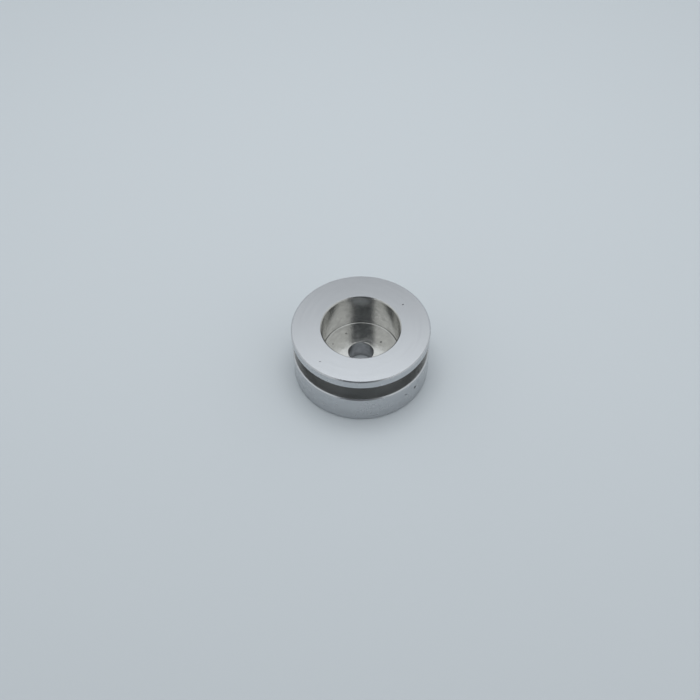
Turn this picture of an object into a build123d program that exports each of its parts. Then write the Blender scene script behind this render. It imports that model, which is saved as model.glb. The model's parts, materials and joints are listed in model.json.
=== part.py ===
from build123d import *

import os

# Turned body: one piece of bright aluminium, machined from round bar on a lathe.
# A thin flange stands over a thicker base of the same diameter, with a wide square groove between
# them. A flat-bottomed bore is sunk from the top and a smaller screw hole goes on through the web
# that it leaves. The edges that a hand would meet have a 45 degree break, the flange's underside
# is left sharp, and the inside corners keep the nose radius of the tool that cut them.
#
# Units are millimetres. Z is the turning axis and the underside of the base stands on Z = 0.

# Outer form
outer_diameter = 30.0
base_height = 7.0
groove_width = 4.25
flange_thickness = 2.0
groove_floor_diameter = 21.0

# Bore, sunk from the top, and the screw hole through its floor
bore_diameter = 17.0
bore_depth = 8.6
hole_diameter = 5.5

# Edge breaks (leg of the 45 degree chamfer)
rim_break = 0.25
bore_mouth_break = 0.25
hole_break = 0.12

# Nose radii left in the inside corners
groove_corner_radius = 0.3
bore_corner_radius = 0.2

# Heights and radii that follow from the sizes above
flange_underside = base_height + groove_width
total_height = flange_underside + flange_thickness
outer_radius = outer_diameter / 2
groove_floor_radius = groove_floor_diameter / 2
bore_radius = bore_diameter / 2
hole_radius = hole_diameter / 2


with BuildPart() as turned_body:
    # Half section of the outside, from the axis out: base, groove and flange.
    with BuildSketch(Plane.XZ) as outside:
        with BuildLine():
            Polyline(
                (0, 0),
                (outer_radius, 0),
                (outer_radius, base_height),
                (groove_floor_radius, base_height),
                (groove_floor_radius, flange_underside),
                (outer_radius, flange_underside),
                (outer_radius, total_height),
                (0, total_height),
                close=True,
            )
        make_face()
        groove_corners = outside.vertices().group_by(Axis.X)[1]
        fillet(groove_corners, radius=groove_corner_radius)
        # Rim corners, taken afresh from the filleted face and listed from the bottom up. The third
        # is the flange's lower corner, which stays sharp.
        rim_corners = outside.vertices().group_by(Axis.X)[-1].sort_by(Axis.Y)
        base_bottom, base_top, _, flange_upper = rim_corners
        chamfer([base_bottom, base_top, flange_upper], length=rim_break)
    revolve(axis=Axis.Z)

    # Bore and screw hole, cut together from the top face.
    with Locations((0, 0, total_height)):
        CounterBoreHole(
            radius=hole_radius,
            counter_bore_radius=bore_radius,
            counter_bore_depth=bore_depth,
        )

    # Edges of the bore and the hole, picked out by their radius and height.
    circles = turned_body.edges().filter_by(GeomType.CIRCLE)
    bore_circles = circles.filter_by(lambda edge: abs(edge.radius - bore_radius) < 1e-4).sort_by(Axis.Z)
    hole_circles = circles.filter_by(lambda edge: abs(edge.radius - hole_radius) < 1e-4)
    fillet(bore_circles[0], radius=bore_corner_radius)
    chamfer(bore_circles[-1], length=bore_mouth_break)
    chamfer(hole_circles, length=hole_break)

turned_body.part.label = "turned_body"

os.makedirs("parts", exist_ok=True)
export_step(turned_body.part, "parts/turned_body.step")
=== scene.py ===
import json
import math

import bpy
from bpy.props import (
    FloatProperty,
    FloatVectorProperty,
    IntProperty,
    PointerProperty,
)
from mathutils import Matrix, Vector


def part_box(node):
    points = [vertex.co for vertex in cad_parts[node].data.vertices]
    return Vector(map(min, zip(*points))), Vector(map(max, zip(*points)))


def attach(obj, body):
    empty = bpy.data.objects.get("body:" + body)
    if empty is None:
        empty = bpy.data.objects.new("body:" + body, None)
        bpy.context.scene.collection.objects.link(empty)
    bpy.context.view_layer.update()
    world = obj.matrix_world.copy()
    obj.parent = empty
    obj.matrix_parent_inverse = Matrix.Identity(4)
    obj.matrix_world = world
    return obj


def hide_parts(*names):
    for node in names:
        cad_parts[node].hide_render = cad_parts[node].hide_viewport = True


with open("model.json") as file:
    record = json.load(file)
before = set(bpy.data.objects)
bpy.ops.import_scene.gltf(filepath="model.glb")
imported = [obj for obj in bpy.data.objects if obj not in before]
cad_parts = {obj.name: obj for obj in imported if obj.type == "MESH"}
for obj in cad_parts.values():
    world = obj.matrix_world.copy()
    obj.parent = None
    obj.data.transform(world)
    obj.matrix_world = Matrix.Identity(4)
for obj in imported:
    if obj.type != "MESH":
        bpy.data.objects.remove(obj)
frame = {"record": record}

bl_info = {
    "name": "Turned Body",
    "version": (1, 0, 0),
    "blender": (4, 5, 0),
    "location": "3D View > Sidebar > Turned Body",
    "description": "Grooved and counterbored aluminium body turned from bar, on a plain stage",
    "category": "Object",
}

MM = 0.001
NODE = "turned_body"
BODY = "root"

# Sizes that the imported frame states, in metres.
CAD_LOW, CAD_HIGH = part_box(NODE)
MOUNTS = {mount["name"]: mount for mount in frame["record"]["mounts"]}
CAD_DIAMETER = CAD_HIGH.x - CAD_LOW.x
CAD_HEIGHT = CAD_HIGH.z - CAD_LOW.z
CAD_BORE = 2 * MOUNTS["counterbore"]["dims"]["r_mm"] * MM
CAD_HOLE = 2 * MOUNTS["screw_hole"]["dims"]["r_mm"] * MM
CAD_BORE_FLOOR = MOUNTS["bore_floor"]["pos_m"][2]
CAD_GROOVE_MIDDLE = MOUNTS["groove"]["pos_m"][2]


# ---------------------------------------------------------------------------------------------
# Properties
# ---------------------------------------------------------------------------------------------


def length(name, description, default):
    """A size in metres, shown in the scene's length unit."""
    return FloatProperty(name=name, description=description, default=default, unit="LENGTH", precision=5)


def share(name, description, default):
    """A number from 0 to 1."""
    return FloatProperty(name=name, description=description, default=default, min=0, max=1, subtype="FACTOR")


def colour(name, description, default):
    """A linear colour."""
    return FloatVectorProperty(name=name, description=description, default=default, min=0, max=1,
                               subtype="COLOR")


def angle(name, description, degrees):
    """An angle, given in degrees."""
    return FloatProperty(name=name, description=description, default=math.radians(degrees), subtype="ANGLE")


def level(name, description, default):
    """A plain number, such as a brightness or a place in the picture."""
    return FloatProperty(name=name, description=description, default=default)


class BodySizes(bpy.types.PropertyGroup):
    """Section of the turned body."""

    outer_diameter: length("Outer diameter", "Across the flange and the base", CAD_DIAMETER)
    total_height: length("Total height", "From the underside to the top face", CAD_HEIGHT)
    groove_middle: length("Groove middle", "Height of the groove's mid plane", CAD_GROOVE_MIDDLE)
    groove_width: length("Groove width", "Between the base and the flange", 4.25 * MM)
    groove_floor_diameter: length("Groove floor", "Diameter at the groove's floor", 21 * MM)
    bore_diameter: length("Bore", "Diameter of the bore", CAD_BORE)
    bore_floor: length("Bore floor", "Height of the bore's floor", CAD_BORE_FLOOR)
    hole_diameter: length("Screw hole", "Diameter of the screw hole", CAD_HOLE)
    rim_break: length("Rim break", "Leg of the chamfer on the outer edges", 0.25 * MM)
    mouth_break: length("Mouth break", "Leg of the chamfer on the bore's mouth", 0.25 * MM)
    hole_break: length("Hole break", "Leg of the chamfer on the screw hole's edges", 0.12 * MM)
    groove_corner: length("Groove corner", "Nose radius in the groove's corners", 0.3 * MM)
    bore_corner: length("Bore corner", "Nose radius at the bore's floor", 0.2 * MM)
    burnish: length("Burnish", "Tiny radius left on each sharp edge", 0.025 * MM)
    steps: IntProperty(name="Steps", description="Facets around the axis", default=288, min=32, max=720)


class FinishLooks(bpy.types.PropertyGroup):
    """Colours and roughness of the machined surfaces. Apart from the faced metal, the colours carry painted
    shade, and painted light on the bore's floor.
    """

    metal: colour("Aluminium", "Metal of the faced top and underside", (0.68, 0.695, 0.72))
    # Rim metal darker than the faced top: partly a duller turned finish, partly painted shade on the rims.
    rim_metal_painted_shade: colour("Rim aluminium", "Metal of the turned rims", (0.58, 0.59, 0.605))
    # Bore floor metal lighter than the faced top: painted light on the bore's floor; it is also slightly
    # warm.
    bore_floor_painted_light_metal: colour("Bored aluminium", "Slightly warm metal of the bore's floor", (0.76, 0.755, 0.73))
    # Bore wall metal darker than the faced top: its duller look is painted shade inside the bore.
    bore_wall_metal_painted_shade: colour("Bore wall aluminium", "Duller metal of the bore's wall", (0.62, 0.615, 0.59))
    # Groove metal, the darkest: painted shade in the recessed groove between base and flange.
    groove_metal_painted_shade: colour("Grooved aluminium", "Metal of the groove's walls", (0.54, 0.54, 0.535))
    # Hole metal darker than the faced top: painted shade in the narrow drilled hole.
    hole_metal_painted_shade: colour("Drilled aluminium", "Metal of the drilled hole", (0.61, 0.61, 0.62))
    speck: colour("Specks", "Dark specks and nicks", (0.05, 0.05, 0.05))
    faced_roughness: share("Faced roughness", "Roughness of the faced top and underside", 0.20)
    rim_roughness: share("Rim roughness", "Roughness of the turned rims", 0.26)
    groove_roughness: share("Groove roughness", "Roughness of the groove", 0.26)
    bored_roughness: share("Bored roughness", "Roughness of the bore's wall", 0.18)
    floor_roughness: share("Bore floor roughness", "Roughness of the bore's floor", 0.18)
    drilled_roughness: share("Drilled roughness", "Roughness of the screw hole", 0.36)


class StageSettings(bpy.types.PropertyGroup):
    """Floor, light and camera."""

    floor_colour: colour("Floor", "Colour of the pale floor", (0.53, 0.565, 0.59))
    floor_size: length("Floor size", "Side of the square floor", 4.0)
    sky_colour: colour("Sky", "Tint of the surroundings", (0.93, 0.97, 1.0))
    zenith: level("Zenith", "Brightness straight above", 1.22)
    zenith_from: share("Zenith from", "Upward lean at which the surroundings start to brighten", 0.67)
    zenith_to: share("Zenith to", "Upward lean at which they are brightest", 0.86)
    horizon: level("Front and back", "Brightness in front and behind, above eye level", 0.28)
    side_glow: level("Side glow", "Brightness at either side and near eye level", 0.74)
    side_from: share("Side from", "Sideways lean at which the side glow starts", 0.27)
    side_to: share("Side to", "Sideways lean at which it is full", 0.55)
    low_full: share("Low full", "Upward lean below which the glow is full all round", 0.22)
    low_end: share("Low end", "Upward lean at which that low glow ends", 0.42)
    softbox_size: length("Softbox size", "Diameter of the lamp overhead", 0.20)
    softbox_height: length("Softbox height", "Height of the lamp above the floor", 0.30)
    softbox_back: length("Softbox back", "How far the lamp hangs behind the axis", 0.03)
    softbox_power: FloatProperty(name="Softbox power", description="Radiant power", default=0.31,
                                 unit="POWER")
    card_distance: length("Card distance", "From the part to the dark card", 0.30)
    card_turn: angle("Card turn", "Turn of the card about the part", -8)
    card_height: angle("Card height", "Elevation of the card's middle", 50)
    card_across: angle("Card across", "Half the angle that the card covers sideways", 26)
    card_up: angle("Card up", "Half the angle that the card covers up and down", 21)
    card_core: share("Card core", "Share of the card's half width that is solid", 0.55)
    card_tone: colour("Card tone", "Colour of the card", (0.19, 0.195, 0.205))
    tilt: angle("Tilt", "How far the camera looks down", 51.15)
    roll: angle("Roll", "Turn of the camera about its own line of sight", -1.21)
    distance: length("Distance", "From the camera to the top face, along its line of sight", 193.0 * MM)
    focal_pixels: level("Focal length", "In pixels of the picture", 900)
    picture_side: level("Picture side", "In pixels", 700)
    target_across: level("Target across", "Pixel column of the top face's centre", 360.75)
    target_down: level("Target down", "Pixel row of the top face's centre", 326.49)


# ---------------------------------------------------------------------------------------------
# Node helpers
# ---------------------------------------------------------------------------------------------


def put(tree, kind, inputs=None, **settings):
    """Adds a node, sets its properties, then fills or links its inputs, given by name or number."""
    made = tree.nodes.new(kind)
    for name, value in settings.items():
        setattr(made, name, value)
    for key, value in (inputs or {}).items():
        if isinstance(value, bpy.types.NodeSocket):
            tree.links.new(value, made.inputs[key])
        else:
            made.inputs[key].default_value = value
    return made


def math_node(tree, operation, *values):
    """A Math node's output."""
    return put(tree, "ShaderNodeMath", dict(enumerate(values)), operation=operation).outputs[0]


def vector_node(tree, operation, *values):
    """A Vector Math node."""
    return put(tree, "ShaderNodeVectorMath", dict(enumerate(values)), operation=operation)


def spread(tree, value, low, high, to_low, to_high):
    """value, mapped smoothly from low..high to to_low..to_high."""
    inputs = {"Value": value, "From Min": low, "From Max": high, "To Min": to_low, "To Max": to_high}
    return put(tree, "ShaderNodeMapRange", inputs, interpolation_type="SMOOTHSTEP").outputs[0]


def noise(tree, vector, scale, detail=3.0, roughness=0.55):
    """A noise value from 0 to 1."""
    inputs = {"Vector": vector, "Scale": scale, "Detail": detail, "Roughness": roughness}
    return put(tree, "ShaderNodeTexNoise", inputs).outputs[0]


def about_zero(tree, value):
    """A noise value, moved so that it swings about zero."""
    return math_node(tree, "SUBTRACT", value, NOISE_MIDDLE)


# ---------------------------------------------------------------------------------------------
# Finishes
# ---------------------------------------------------------------------------------------------

NOISE_MIDDLE = 0.5
QUARTER_TURN = 0.25
# Tool marks: how fast they change round the axis, how much wider a band is than a mark, and how far
# the bands darken and lighten the metal.
MARK_DRIFT = 1.6
BAND_SQUEEZE = 0.12
BAND_SHADE = 0.06
# Patches and pores: how many to a metre, and the noise values between which they show.
PATCH_SCALE = 650
PATCH_ROUGHNESS_RANGE = (0.3, 0.7)
PATCH_STAIN_RANGE = (0.25, 0.75)
PORE_SCALE = 8500
PORE_RANGE = (0.60, 0.72)
# Specks: grain of their ragged edge, the fade across it as shares of the radius, and added roughness.
SPECK_SCALE = 6000
SPECK_EDGE = (0.7, 1.15)
SPECK_ROUGHNESS = 0.35


def lathe_coordinates():
    """Node group that gives a point's radius, height, spoke and direction of cut on the turning axis."""
    name = "Lathe coordinates"
    if name in bpy.data.node_groups:
        return bpy.data.node_groups[name]
    group = bpy.data.node_groups.new(name, "ShaderNodeTree")
    sockets = {"Radius": "NodeSocketFloat", "Height": "NodeSocketFloat", "Spoke": "NodeSocketVector",
               "Cut": "NodeSocketVector", "Place": "NodeSocketVector"}
    for label, kind in sockets.items():
        group.interface.new_socket(name=label, in_out="OUTPUT", socket_type=kind)
    place = put(group, "ShaderNodeTexCoord").outputs["Object"]
    flat = vector_node(group, "MULTIPLY", place, (1, 1, 0)).outputs["Vector"]
    spoke = vector_node(group, "NORMALIZE", flat).outputs["Vector"]
    results = {
        "Radius": vector_node(group, "LENGTH", flat).outputs["Value"],
        "Height": put(group, "ShaderNodeSeparateXYZ", {0: place}).outputs["Z"],
        "Spoke": spoke,
        "Cut": vector_node(group, "CROSS_PRODUCT", (0, 0, 1), spoke).outputs["Vector"],
        "Place": place,
    }
    put(group, "NodeGroupOutput", results)
    return group


def speck_mask(tree, place, specks):
    """1 inside any of the specks and 0 elsewhere, with ragged edges.

    Each speck is given as (centre, radius), in metres.
    """
    ragged = noise(tree, place, SPECK_SCALE, detail=2)
    nearest = None
    for centre, radius in specks:
        apart = vector_node(tree, "DISTANCE", place, tuple(centre)).outputs["Value"]
        ratio = math_node(tree, "DIVIDE", apart, radius)
        nearest = ratio if nearest is None else math_node(tree, "MINIMUM", nearest, ratio)
    edge = math_node(tree, "ADD", nearest, about_zero(tree, ragged))
    return spread(tree, edge, *SPECK_EDGE, 1.0, 0.0)


def machined_metal(name, metal, roughness, along, pitch, depth, grain=0.65, stain=0.0, smudge=0.05,
                   pits=0.2, lines=0.14, specks=()):
    """Bare metal with tool marks that run round the axis.

    along is Radius on a faced surface and Height on a cylinder: the direction in which the tool was
    fed. pitch is the spacing of the marks and depth their height, in metres. grain stretches the
    reflections across the marks, stain darkens the metal in soft patches, smudge varies its roughness,
    pits darkens fine pores, and lines darkens and lightens the tool marks themselves.
    """
    material = bpy.data.materials.new(name)
    material.use_nodes = True
    material.diffuse_color = (*metal, 1)
    tree = material.node_tree
    tree.nodes.clear()
    lathe = put(tree, "ShaderNodeGroup", node_tree=lathe_coordinates()).outputs
    spoke = put(tree, "ShaderNodeSeparateXYZ", {0: lathe["Spoke"]}).outputs
    track = put(tree, "ShaderNodeCombineXYZ", {
        "X": math_node(tree, "DIVIDE", lathe[along], pitch),
        "Y": math_node(tree, "MULTIPLY", spoke["X"], MARK_DRIFT),
        "Z": math_node(tree, "MULTIPLY", spoke["Y"], MARK_DRIFT),
    }).outputs[0]
    marks = noise(tree, track, 1.0, detail=4, roughness=0.7)
    squeezed = vector_node(tree, "MULTIPLY", track, (BAND_SQUEEZE, 1, 1)).outputs[0]
    bands = about_zero(tree, noise(tree, squeezed, 1.0, detail=2))
    patches = noise(tree, lathe["Place"], PATCH_SCALE, detail=6, roughness=0.7)
    pores = noise(tree, lathe["Place"], PORE_SCALE, detail=2)
    rough = spread(tree, patches, *PATCH_ROUGHNESS_RANGE, roughness - smudge, roughness + smudge)
    rough = math_node(tree, "ADD", rough, math_node(tree, "MULTIPLY", bands, 2 * smudge))
    shade = spread(tree, patches, *PATCH_STAIN_RANGE, 1 - stain, 1.0)
    shade = math_node(tree, "ADD", shade, math_node(tree, "MULTIPLY", bands, BAND_SHADE))
    shade = math_node(tree, "MULTIPLY", shade, spread(tree, pores, *PORE_RANGE, 1.0, 1 - pits))
    ridges = math_node(tree, "MULTIPLY", about_zero(tree, marks), lines)
    tint = vector_node(tree, "SCALE", tuple(metal))
    tree.links.new(math_node(tree, "ADD", shade, ridges), tint.inputs["Scale"])
    tone = tint.outputs["Vector"]
    if specks:
        mask = speck_mask(tree, lathe["Place"], specks)
        dark = (*bpy.context.scene.turned_finish.speck, 1)
        mixed = put(tree, "ShaderNodeMix", {"Factor": mask, 6: tone, 7: dark}, data_type="RGBA")
        tone = mixed.outputs[2]
        rough = math_node(tree, "ADD", rough, math_node(tree, "MULTIPLY", mask, SPECK_ROUGHNESS))
    bump = put(tree, "ShaderNodeBump", {"Strength": 1.0, "Distance": depth, "Height": marks})
    shader = put(tree, "ShaderNodeBsdfPrincipled", {
        "Base Color": tone,
        "Metallic": 1.0,
        "Roughness": rough,
        "Anisotropic": grain,
        "Anisotropic Rotation": QUARTER_TURN,
        "Normal": bump.outputs["Normal"],
        "Tangent": lathe["Cut"],
    })
    put(tree, "ShaderNodeOutputMaterial", {"Surface": shader.outputs[0]})
    return material


def on_cylinder(radius, degrees, height):
    """A point on a cylinder round the axis."""
    turn = math.radians(degrees)
    return Vector((radius * math.cos(turn), radius * math.sin(turn), height))


def finishes(sizes, looks):
    """The materials of the turned surfaces, by surface."""
    rim = sizes.outer_diameter / 2
    top = sizes.total_height
    floor = sizes.bore_floor
    # Dark specks on each surface, as (centre, radius). A centre is at (radius, degrees, height).
    rim_specks = [
        (on_cylinder(rim, -40.4, 4.17 * MM), 0.36 * MM),
        (on_cylinder(rim, -51.3, 4.24 * MM), 0.22 * MM),
        (on_cylinder(rim, -36.4, 5.20 * MM), 0.18 * MM),
    ]
    top_specks = [
        (on_cylinder(11.15 * MM, 32.7, top), 0.17 * MM),
        (on_cylinder(12.74 * MM, -133.0, top), 0.12 * MM),
    ]
    floor_specks = [
        (on_cylinder(5.26 * MM, 29.9, floor), 0.23 * MM),
        (on_cylinder(6.61 * MM, 159.3, floor), 0.16 * MM),
        (on_cylinder(6.20 * MM, 121.4, floor), 0.17 * MM),
    ]
    # Apart from the faced metal, these colours are shaded and lit copies of one aluminium: painted shade on
    # the rim (with a duller turned finish), bore wall, groove and hole, and painted light on the bore floor.
    faced, turned = tuple(looks.metal), tuple(looks.rim_metal_painted_shade)
    shaded_groove_tone, drilled = tuple(looks.groove_metal_painted_shade), tuple(looks.hole_metal_painted_shade)
    lit_floor_tone, wall = tuple(looks.bore_floor_painted_light_metal), tuple(looks.bore_wall_metal_painted_shade)
    groove_marks = {"pitch": 0.14 * MM, "depth": 0.0003 * MM, "smudge": 0.01, "pits": 0.0, "lines": 0.14}
    bore_marks = {"grain": 0.3, "smudge": 0.05, "pits": 0.3, "lines": 0.4}
    return {
        "rim": machined_metal(
            "Turned rim", turned, looks.rim_roughness, "Height", pitch=0.11 * MM, depth=0.0005 * MM,
            smudge=0.02, pits=0.06, lines=0.25, specks=rim_specks),
        "top": machined_metal(
            "Faced top", faced, looks.faced_roughness, "Radius", pitch=0.10 * MM, depth=0.0009 * MM,
            grain=0.15, smudge=0.012, pits=0.06, specks=top_specks),
        "groove": machined_metal(
            "Grooved wall", shaded_groove_tone, looks.groove_roughness, "Radius", **groove_marks),
        "groove floor": machined_metal(
            "Groove floor", shaded_groove_tone, looks.groove_roughness, "Height", **groove_marks),
        "bore": machined_metal(
            "Bored wall", wall, looks.bored_roughness, "Height", pitch=0.16 * MM, depth=0.0007 * MM,
            stain=0.24, **bore_marks),
        "bore floor": machined_metal(
            "Bored floor", lit_floor_tone, looks.floor_roughness, "Radius", pitch=0.13 * MM,
            depth=0.0008 * MM, stain=0.10, specks=floor_specks, **bore_marks),
        "hole": machined_metal(
            "Drilled hole", drilled, looks.drilled_roughness, "Height", pitch=0.20 * MM,
            depth=0.003 * MM, stain=0.4, pits=0.3, lines=0.5),
        "underside": machined_metal(
            "Faced underside", faced, looks.faced_roughness, "Radius", pitch=0.12 * MM,
            depth=0.002 * MM),
    }


# ---------------------------------------------------------------------------------------------
# Turned body
# ---------------------------------------------------------------------------------------------


def section_corners(s):
    """Corners of the half section as (radius, height, blend radius), once round the metal."""
    rim, hole, bore = s.outer_diameter / 2, s.hole_diameter / 2, s.bore_diameter / 2
    neck = s.groove_floor_diameter / 2
    base_top = s.groove_middle - s.groove_width / 2
    flange_under = s.groove_middle + s.groove_width / 2
    top, floor, tiny = s.total_height, s.bore_floor, s.burnish
    return [
        (hole, s.hole_break, tiny),
        (hole + s.hole_break, 0, tiny),
        (rim - s.rim_break, 0, tiny),
        (rim, s.rim_break, tiny),
        (rim, base_top - s.rim_break, tiny),
        (rim - s.rim_break, base_top, tiny),
        (neck, base_top, s.groove_corner),
        (neck, flange_under, s.groove_corner),
        (rim, flange_under, tiny),
        (rim, top - s.rim_break, tiny),
        (rim - s.rim_break, top, tiny),
        (bore + s.mouth_break, top, tiny),
        (bore, top - s.mouth_break, tiny),
        (bore, floor, s.bore_corner),
        (hole + s.hole_break, floor, tiny),
        (hole, floor - s.hole_break, tiny),
    ]


def rounded(corners, most_turn=math.radians(11), hold=0.06 * MM, hold_share=0.2):
    """Points round the closed outline, each corner an arc in steps of most_turn or less.

    A holding point stands on the straight either side of each arc, hold away from it, or the given
    share of the straight where that is less.
    """
    points = []
    count = len(corners)
    for index, (radius, height, blend) in enumerate(corners):
        here = Vector((radius, height))
        before = Vector(corners[index - 1][:2]) - here
        after = Vector(corners[(index + 1) % count][:2]) - here
        turn = math.pi - before.angle(after)
        reach = blend * math.tan(turn / 2)
        into, out = before.normalized(), after.normalized()
        centre = here + (into + out).normalized() * blend / math.cos(turn / 2)
        start, end = here + into * reach, here + out * reach
        pieces = max(2, math.ceil(turn / most_turn))
        points.append(start + into * min(hold, hold_share * before.length))
        sweep = -(start - centre).angle_signed(end - centre)
        for piece in range(pieces + 1):
            points.append(centre + Matrix.Rotation(sweep * piece / pieces, 2) @ (start - centre))
        points.append(end + out * min(hold, hold_share * after.length))
    return points


def section_outline(sizes):
    """The half section as a closed loop of edges in the XZ plane."""
    points = rounded(section_corners(sizes))
    mesh = bpy.data.meshes.new("section")
    loop = [(index, (index + 1) % len(points)) for index in range(len(points))]
    mesh.from_pydata([(point.x, 0, point.y) for point in points], loop, [])
    outline = bpy.data.objects.new("section", mesh)
    bpy.context.scene.collection.objects.link(outline)
    return outline


def spin_tree():
    """Geometry Nodes that spin a closed outline in the XZ plane once round the Z axis."""
    tree = bpy.data.node_groups.new("Spin section", "GeometryNodeTree")
    face = tree.interface
    face.new_socket(name="Section", in_out="INPUT", socket_type="NodeSocketGeometry")
    face.new_socket(name="Steps", in_out="INPUT", socket_type="NodeSocketInt")
    face.new_socket(name="Finish", in_out="INPUT", socket_type="NodeSocketMaterial")
    face.new_socket(name="Body", in_out="OUTPUT", socket_type="NodeSocketGeometry")
    given = put(tree, "NodeGroupInput").outputs

    def keep(geometry, name, value):
        """Stores a vector on each point under a name."""
        inputs = {"Geometry": geometry, "Name": name, "Value": value}
        made = put(tree, "GeometryNodeStoreNamedAttribute", inputs, data_type="FLOAT_VECTOR", domain="POINT")
        return made.outputs[0]

    def kept(name):
        """Reads a stored vector."""
        made = put(tree, "GeometryNodeInputNamedAttribute", {"Name": name}, data_type="FLOAT_VECTOR")
        return made.outputs[0]

    place = put(tree, "GeometryNodeInputPosition").outputs[0]
    circle = {"Resolution": given["Steps"], "Radius": 1.0}
    ring = put(tree, "GeometryNodeCurvePrimitiveCircle", circle).outputs[0]
    ring = keep(ring, "spoke", place)
    outline = keep(given["Section"], "outline", place)
    outline = put(tree, "GeometryNodeMeshToCurve", {"Mesh": outline}).outputs[0]
    skin = put(tree, "GeometryNodeCurveToMesh", {"Curve": ring, "Profile Curve": outline}).outputs[0]
    drawn = put(tree, "ShaderNodeSeparateXYZ", {0: kept("outline")}).outputs
    swung = put(tree, "ShaderNodeVectorMath", {0: kept("spoke")}, operation="SCALE")
    tree.links.new(drawn["X"], swung.inputs["Scale"])
    raised = put(tree, "ShaderNodeCombineXYZ", {"Z": drawn["Z"]}).outputs[0]
    spot = put(tree, "ShaderNodeVectorMath", {0: swung.outputs[0], 1: raised}, operation="ADD").outputs[0]
    body = put(tree, "GeometryNodeSetPosition", {"Geometry": skin, "Position": spot}).outputs[0]
    for name in ("spoke", "outline"):
        body = put(tree, "GeometryNodeRemoveAttribute", {"Geometry": body, "Name": name}).outputs[0]
    body = put(tree, "GeometryNodeSetShadeSmooth", {"Geometry": body, "Shade Smooth": True}).outputs[0]
    body = put(tree, "GeometryNodeRealizeInstances", {"Geometry": body}).outputs[0]
    body = put(tree, "GeometryNodeSetMaterial", {"Geometry": body, "Material": given["Finish"]}).outputs[0]
    put(tree, "NodeGroupOutput", {0: body})
    return tree


def spin(outline, name, steps, finish):
    """The outline spun into a plain mesh object. The outline is removed."""
    modifier = outline.modifiers.new("Spin", "NODES")
    modifier.node_group = spin_tree()
    sockets = {item.name: item.identifier for item in modifier.node_group.interface.items_tree
               if item.in_out == "INPUT"}
    modifier[sockets["Steps"]] = steps
    modifier[sockets["Finish"]] = finish
    graph = bpy.context.evaluated_depsgraph_get()
    mesh = bpy.data.meshes.new_from_object(outline.evaluated_get(graph), depsgraph=graph)
    mesh.name = name
    bpy.data.objects.remove(outline)
    body = bpy.data.objects.new(name, mesh)
    bpy.context.scene.collection.objects.link(body)
    return body


def face_outwards(mesh):
    """Turns the faces round if they point into the metal."""
    volume = sum(face.center.dot(face.normal) * face.area for face in mesh.polygons)
    if volume < 0:
        mesh.flip_normals()


def surface_at(radius, height, s):
    """Name of the turned surface that a point of the skin lies on."""
    close = 0.01 * MM
    rim, hole, bore = s.outer_diameter / 2, s.hole_diameter / 2, s.bore_diameter / 2
    base_top = s.groove_middle - s.groove_width / 2
    flange_under = s.groove_middle + s.groove_width / 2
    if radius < hole + close:
        return "hole"
    if radius < bore - s.bore_corner and s.bore_floor - s.hole_break < height < s.bore_floor + close:
        return "bore floor"
    if radius < bore + s.mouth_break and height > s.bore_floor:
        return "bore"
    if height > s.total_height - close:
        return "top"
    if height < close:
        return "underside"
    if radius < rim - s.rim_break and base_top - close < height < flange_under + close:
        on_neck = radius < s.groove_floor_diameter / 2 + close
        return "groove floor" if on_neck else "groove"
    return "hole" if radius < hole + 2 * s.hole_break else "rim"


def finish_surfaces(mesh, materials, sizes):
    """Gives each face the material of the surface it lies on."""
    mesh.materials.clear()
    order = list(materials)
    for surface in order:
        mesh.materials.append(materials[surface])
    for face in mesh.polygons:
        radius = math.hypot(face.center.x, face.center.y)
        face.material_index = order.index(surface_at(radius, face.center.z, sizes))


class TURNED_OT_body(bpy.types.Operator):
    """Spins the section into the turned body and finishes each machined surface"""

    bl_idname = "turned.body"
    bl_label = "Turned body"

    def execute(self, context):
        sizes = context.scene.turned_sizes
        materials = finishes(sizes, context.scene.turned_finish)
        body = spin(section_outline(sizes), "machined_body", sizes.steps, materials["rim"])
        face_outwards(body.data)
        finish_surfaces(body.data, materials, sizes)
        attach(body, BODY)
        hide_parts(NODE)
        return {"FINISHED"}


# ---------------------------------------------------------------------------------------------
# Stage
# ---------------------------------------------------------------------------------------------

MATT_ROUGHNESS = 0.9
MATT_SPECULAR = 0.1
NEAREST_SEEN = 10 * MM


def flat_card(name, side_a, side_b, matrix, material):
    """A rectangle in its own XY plane, put in place by a matrix, as a piece of the stage."""
    a, b = side_a / 2, side_b / 2
    mesh = bpy.data.meshes.new(name)
    mesh.from_pydata([(-a, -b, 0), (a, -b, 0), (a, b, 0), (-a, b, 0)], [], [(0, 1, 2, 3)])
    mesh.transform(matrix)
    mesh.materials.append(material)
    card = bpy.data.objects.new(name, mesh)
    bpy.context.scene.collection.objects.link(card)
    return card


def matt(name, tone):
    """A plain matt material for the stage."""
    material = bpy.data.materials.new(name)
    material.use_nodes = True
    shader = material.node_tree.nodes["Principled BSDF"]
    shader.inputs["Base Color"].default_value = (*tone, 1)
    shader.inputs["Roughness"].default_value = MATT_ROUGHNESS
    shader.inputs["Specular IOR Level"].default_value = MATT_SPECULAR
    return material


def soft_edged(name, tone, axis, core, reach):
    """A matt material, solid within core metres of the axis' origin and faded to nothing at reach."""
    material = matt(name, tone)
    tree = material.node_tree
    place = put(tree, "ShaderNodeTexCoord").outputs["Object"]
    along = vector_node(tree, "DOT_PRODUCT", place, axis).outputs["Value"]
    fade = spread(tree, math_node(tree, "ABSOLUTE", along), core, reach, 0.0, 1.0)
    clear = put(tree, "ShaderNodeBsdfTransparent").outputs[0]
    mixed = put(tree, "ShaderNodeMixShader", {0: fade, 1: tree.nodes["Principled BSDF"].outputs[0], 2: clear})
    tree.links.new(mixed.outputs[0], tree.nodes["Material Output"].inputs["Surface"])
    return material


def lay_floor(stage):
    """The plain pale floor that the part stands on."""
    material = matt("Pale floor", stage.floor_colour)
    flat_card("floor", stage.floor_size, stage.floor_size, Matrix.Identity(4), material)


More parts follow.
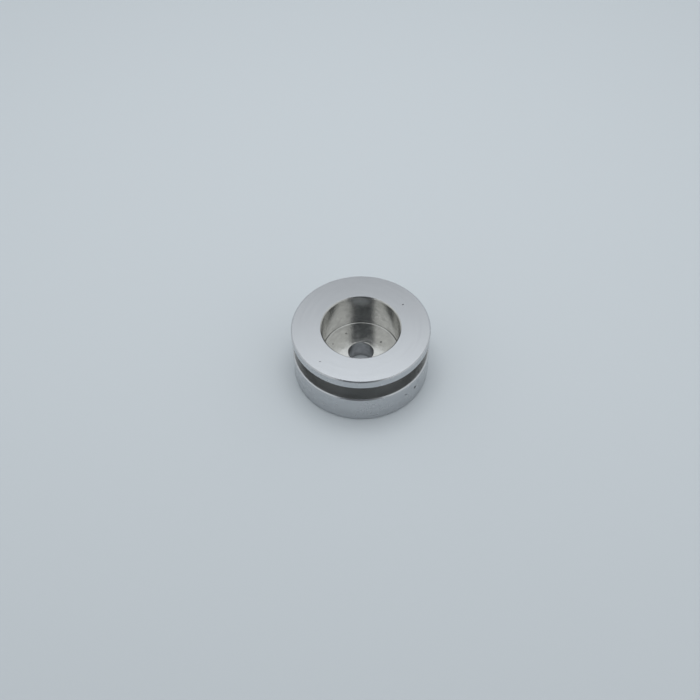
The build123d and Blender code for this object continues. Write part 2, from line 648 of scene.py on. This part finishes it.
def stand_card(stage):
    """A dark card behind the camera, which the bright metal reflects and the camera doesn't see."""
    turned = Matrix.Rotation(stage.card_turn, 4, "Z")
    raised = Matrix.Rotation(math.pi / 2 - stage.card_height, 4, "X")
    away = Matrix.Translation((0, 0, stage.card_distance))
    half_width = stage.card_distance * math.tan(stage.card_across)
    half_tall = stage.card_distance * math.tan(stage.card_up)
    axis = (math.cos(stage.card_turn), math.sin(stage.card_turn), 0)
    material = soft_edged("Dark card", stage.card_tone, axis, stage.card_core * half_width, half_width)
    card = flat_card("dark_card", 2 * half_width, 2 * half_tall, turned @ raised @ away, material)
    card.visible_camera = False


def hang_softbox(stage):
    """A round soft lamp straight above the part. It lights the floor and isn't mirrored by the metal."""
    lamp = bpy.data.lights.new("softbox", "AREA")
    lamp.shape = "DISK"
    lamp.size = stage.softbox_size
    lamp.energy = stage.softbox_power
    hung = bpy.data.objects.new("softbox", lamp)
    hung.location = (0, stage.softbox_back, stage.softbox_height)
    hung.visible_glossy = False
    bpy.context.scene.collection.objects.link(hung)


def light_surroundings(stage):
    """Surroundings that are bright overhead, at either side and near eye level, and dimmer in between."""
    world = bpy.data.worlds.new("Soft surroundings")
    world.use_nodes = True
    bpy.context.scene.world = world
    tree = world.node_tree
    tree.nodes.clear()
    direction = put(tree, "ShaderNodeTexCoord").outputs["Generated"]
    parts = put(tree, "ShaderNodeSeparateXYZ", {0: direction}).outputs
    up, across = parts["Z"], math_node(tree, "ABSOLUTE", parts["X"])
    overhead = spread(tree, up, stage.zenith_from, stage.zenith_to, stage.horizon, stage.zenith)
    sides = spread(tree, across, stage.side_from, stage.side_to, 0.0, stage.side_glow)
    low = spread(tree, up, stage.low_full, stage.low_end, stage.side_glow, 0.0)
    strength = math_node(tree, "MAXIMUM", overhead, math_node(tree, "MAXIMUM", sides, low))
    glow = put(tree, "ShaderNodeBackground", {"Color": (*stage.sky_colour, 1), "Strength": strength})
    put(tree, "ShaderNodeOutputWorld", {0: glow.outputs[0]})


def place_camera(stage, target):
    """Looks at the target from the stated angle, with the target at its stated pixel."""
    camera = bpy.data.cameras.new("camera")
    camera.lens = camera.sensor_width * stage.focal_pixels / stage.picture_side
    camera.clip_start = NEAREST_SEEN
    seen = bpy.data.objects.new("camera", camera)
    turn = Matrix.Rotation(math.pi / 2 - stage.tilt, 4, "X") @ Matrix.Rotation(stage.roll, 4, "Z")
    pixel = stage.distance / stage.focal_pixels
    across = (stage.target_across - stage.picture_side / 2) * pixel
    up = (stage.picture_side / 2 - stage.target_down) * pixel
    seen.matrix_world = Matrix.Translation(target - turn @ Vector((across, up, -stage.distance))) @ turn
    bpy.context.scene.collection.objects.link(seen)
    bpy.context.scene.camera = seen


class TURNED_OT_stage(bpy.types.Operator):
    """Lays the floor, hangs the light, stands the dark card and places the camera"""

    bl_idname = "turned.stage"
    bl_label = "Stage"

    def execute(self, context):
        stage = context.scene.turned_stage
        lay_floor(stage)
        stand_card(stage)
        hang_softbox(stage)
        light_surroundings(stage)
        place_camera(stage, Vector((0, 0, context.scene.turned_sizes.total_height)))
        context.scene.view_settings.view_transform = "Standard"
        return {"FINISHED"}


# ---------------------------------------------------------------------------------------------
# Add-on
# ---------------------------------------------------------------------------------------------


class VIEW3D_PT_turned(bpy.types.Panel):
    """Lists the parts of the model and their settings"""

    bl_label = "Turned Body"
    bl_space_type = "VIEW_3D"
    bl_region_type = "UI"
    bl_category = "Turned Body"

    def draw(self, context):
        layout = self.layout
        for operator in OPERATORS:
            layout.operator(operator.bl_idname)
        for group in SETTINGS:
            box = layout.box()
            settings = getattr(context.scene, group)
            for name in settings.__annotations__:
                box.prop(settings, name)


OPERATORS = (TURNED_OT_body, TURNED_OT_stage)
SETTINGS = {"turned_sizes": BodySizes, "turned_finish": FinishLooks, "turned_stage": StageSettings}
CLASSES = (*SETTINGS.values(), *OPERATORS, VIEW3D_PT_turned)


def register():
    for cls in CLASSES:
        bpy.utils.register_class(cls)
    for name, group in SETTINGS.items():
        setattr(bpy.types.Scene, name, PointerProperty(type=group))


def unregister():
    for name in SETTINGS:
        delattr(bpy.types.Scene, name)
    for cls in reversed(CLASSES):
        bpy.utils.unregister_class(cls)


def main():
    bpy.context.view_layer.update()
    register()
    bpy.ops.turned.body()
    bpy.ops.turned.stage()


if __name__ == "__main__":
    main()
